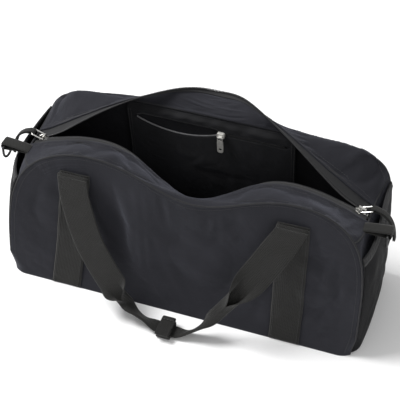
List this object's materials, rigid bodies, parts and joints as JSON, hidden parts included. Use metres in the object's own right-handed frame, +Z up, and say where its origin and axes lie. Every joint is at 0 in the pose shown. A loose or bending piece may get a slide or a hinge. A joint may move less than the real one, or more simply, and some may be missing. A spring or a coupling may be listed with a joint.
{
  "type": "duffel bag",
  "caption": "Soft canvas holdall with a full-length two-way zip, webbing grab handles, mesh end pockets and an inner zip pocket, shown open.",
  "frame": {"origin": "middle of the flat base, on the floor", "axes": "+X towards the bag's right end, -Y the front face with the sewn handle legs seen first, +Z up"},
  "size_m": [0.5334, 0.2644, 0.2463],
  "materials": {
    "canvas": "tightly woven cotton canvas, matt, faint slub",
    "binding": "folded woven binding tape",
    "mesh": "fine knitted mesh",
    "webbing": "ribbed cotton-look webbing, matt",
    "zip_tape": "woven zip tape",
    "zip_teeth": "moulded coil teeth",
    "lining": "thin woven lining with a slight sheen",
    "nickel": "polished nickel plate with light wear",
    "black_plastic": "moulded black plastic, satin",
    "board": "stiff plastic sheet",
    "hook_and_loop": "hook and loop tape"
  },
  "bodies": {
    "bag": {"front_panel": "canvas", "back_panel": "canvas", "bottom_panel": "canvas", "base_board": "board", "front_seam_binding": "binding", "back_seam_binding": "binding", "left_end_panel": "canvas", "left_cross_seam": "binding", "left_mesh_pocket": "mesh", "left_pocket_hem": "binding", "left_ring_tab": "webbing", "left_zip_end": "nickel", "right_end_panel": "canvas", "right_cross_seam": "binding", "right_mesh_pocket": "mesh", "right_pocket_hem": "binding", "right_ring_tab": "webbing", "right_zip_end": "nickel", "front_webbing_left": "webbing", "front_webbing_right": "webbing", "back_webbing_left": "webbing", "back_webbing_right": "webbing", "inner_pocket_panel": "lining", "inner_pocket_pouch": "lining", "upper_pocket_tape": "zip_tape", "pocket_zip_teeth": "zip_teeth"},
    "front_lip": {"front_top_strip": "canvas", "front_zip_tape": "zip_tape", "front_zip_teeth": "zip_teeth"},
    "back_lip": {"back_top_strip": "canvas", "back_zip_tape": "zip_tape", "back_zip_teeth": "zip_teeth"},
    "left_zip_slider": {"left_slider": "nickel"},
    "left_zip_bail": {"left_bail": "nickel"},
    "left_zip_pull": {"left_pull_loop": "webbing"},
    "right_zip_slider": {"right_slider": "nickel"},
    "right_zip_bail": {"right_bail": "nickel"},
    "right_zip_pull": {"right_pull_loop": "webbing"},
    "left_ring": {"left_d_ring": "black_plastic"},
    "right_ring": {"right_d_ring": "black_plastic"},
    "front_grab_handle": {"front_handle": "webbing", "handle_keeper": "webbing", "keeper_loop_patch": "hook_and_loop"},
    "keeper": {"keeper_flap": "webbing", "keeper_hook_patch": "hook_and_loop"},
    "back_grab_handle": {"back_handle": "webbing"},
    "pocket_mouth": {"lower_pocket_tape": "zip_tape"},
    "pocket_runner": {"pocket_slider": "nickel"},
    "pocket_pull": {"pocket_puller": "nickel"}
  },
  "joints": [
    {"name": "left_zip_run", "type": "hinge", "parent": "bag", "child": "left_zip_slider", "pos_m": [0, 0, -0.308], "axis": [0, 1, 0], "range_deg": [0, 22.5]},
    {"name": "right_zip_run", "type": "hinge", "parent": "bag", "child": "right_zip_slider", "pos_m": [0, 0, -0.308], "axis": [0, 1, 0], "range_deg": [-22.5, 0]},
    {"name": "front_lip_fold", "type": "hinge", "parent": "bag", "child": "front_lip", "pos_m": [0, -0.052, 0.186], "axis": [1, 0, 0], "range_deg": [0, 90], "deforming": ["front_top_strip", "front_zip_tape", "front_zip_teeth"]},
    {"name": "back_lip_fold", "type": "hinge", "parent": "bag", "child": "back_lip", "pos_m": [0, 0.056, 0.186], "axis": [1, 0, 0], "range_deg": [0, 104], "deforming": ["back_top_strip", "back_zip_tape", "back_zip_teeth"]},
    {"name": "left_bail_swing", "type": "hinge", "parent": "left_zip_slider", "child": "left_zip_bail", "pos_m": [-0.21, 0, 0.17317], "axis": [0, 1, 0], "range_deg": [0, 46]},
    {"name": "right_bail_swing", "type": "hinge", "parent": "right_zip_slider", "child": "right_zip_bail", "pos_m": [0.21, 0, 0.17317], "axis": [0, -1, 0], "range_deg": [0, 46]},
    {"name": "left_pull_swing", "type": "hinge", "parent": "left_zip_bail", "child": "left_zip_pull", "pos_m": [-0.22406, 0, 0.1784], "axis": [0, 1, 0], "range_deg": [0, 50]},
    {"name": "right_pull_swing", "type": "hinge", "parent": "right_zip_bail", "child": "right_zip_pull", "pos_m": [0.22406, 0, 0.1784], "axis": [0, -1, 0], "range_deg": [0, 50]},
    {"name": "left_ring_swing", "type": "hinge", "parent": "bag", "child": "left_ring", "pos_m": [-0.25, -0.026, 0.172], "axis": [0, 1, 0], "range_deg": [0, 140]},
    {"name": "right_ring_swing", "type": "hinge", "parent": "bag", "child": "right_ring", "pos_m": [0.25, -0.026, 0.172], "axis": [0, -1, 0], "range_deg": [0, 140]},
    {"name": "front_handle_swing", "type": "hinge", "parent": "bag", "child": "front_grab_handle", "pos_m": [0, -0.0665, 0.1785], "axis": [-1, 0, 0], "range_deg": [0, 158]},
    {"name": "back_handle_swing", "type": "hinge", "parent": "bag", "child": "back_grab_handle", "pos_m": [0, 0.0665, 0.1785], "axis": [1, 0, 0], "range_deg": [0, 150]},
    {"name": "keeper_flap_open", "type": "hinge", "parent": "front_grab_handle", "child": "keeper", "pos_m": [0, -0.1043, 0.01245], "axis": [-1, 0, 0], "range_deg": [0, 112]},
    {"name": "pocket_zip_run", "type": "slide", "parent": "bag", "child": "pocket_runner", "axis": [1, 0, 0], "range_m": [-0.108, 0]},
    {"name": "pocket_lip_rise", "type": "slide", "parent": "bag", "child": "pocket_mouth", "axis": [0, 0, 1], "range_m": [0, 0.015], "deforming": ["lower_pocket_tape"]},
    {"name": "pocket_pull_swing", "type": "hinge", "parent": "pocket_runner", "child": "pocket_pull", "pos_m": [0.015, 0.0443, 0.19841], "axis": [-1, 0, 0], "range_deg": [0, 140]}
  ],
  "couplings": [
    {"joint": "right_zip_run", "follows": "left_zip_run", "ratio": -1},
    {"joint": "front_lip_fold", "follows": "left_zip_run", "ratio": 4},
    {"joint": "back_lip_fold", "follows": "left_zip_run", "ratio": 4.622},
    {"joint": "pocket_lip_rise", "follows": "pocket_zip_run", "ratio": -0.1388}
  ]
}
